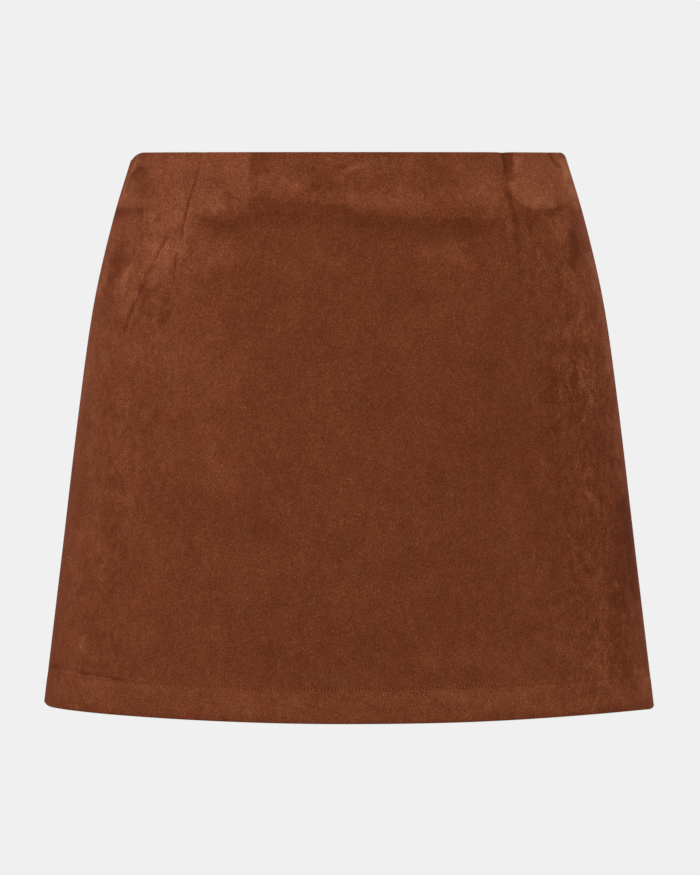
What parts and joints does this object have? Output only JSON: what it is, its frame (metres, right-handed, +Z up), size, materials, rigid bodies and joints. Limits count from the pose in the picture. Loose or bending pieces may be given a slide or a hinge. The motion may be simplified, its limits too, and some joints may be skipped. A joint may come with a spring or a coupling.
{
  "type": "a-line mini skort",
  "caption": "High-waisted A-line mini skort in brown faux suede, filled out as worn: waist darts, stitched hem, shorts inside and a concealed zip at the centre back.",
  "frame": {"origin": "centre of the waist opening, level with the waist edge, where the wearer holds the skort up", "axes": "+Z up out of the waist opening, -Y to the front of the skort, +X to the wearer's left"},
  "size_m": [0.4149, 0.2554, 0.3781],
  "materials": {
    "suede": "brushed faux suede with a short uneven nap",
    "lining": "smooth matt knit",
    "zip_cloth": "fine woven tape",
    "zip_coil": "satin nylon coil",
    "zip_metal": "satin enamel in the cloth's colour"
  },
  "bodies": {
    "garment": {"skirt_front": "suede", "skirt_back_left": "suede", "skirt_back_right": "suede", "facing_front": "lining", "facing_back_left": "lining", "facing_back_right": "lining", "shorts_front_left": "lining", "shorts_front_right": "lining", "shorts_back_left": "lining", "shorts_back_right": "lining", "zip_tape_left": "zip_cloth", "zip_tape_right": "zip_cloth", "zip_chain": "zip_coil", "zip_slider": "zip_metal"},
    "pull_tab": {"zip_pull": "zip_metal"}
  },
  "joints": [
    {"name": "pull_tab_hinge", "type": "hinge", "parent": "garment", "child": "pull_tab", "pos_m": [0, 0.10257, -0.00499], "axis": [1, 0, 0], "range_deg": [0, 150]}
  ]
}
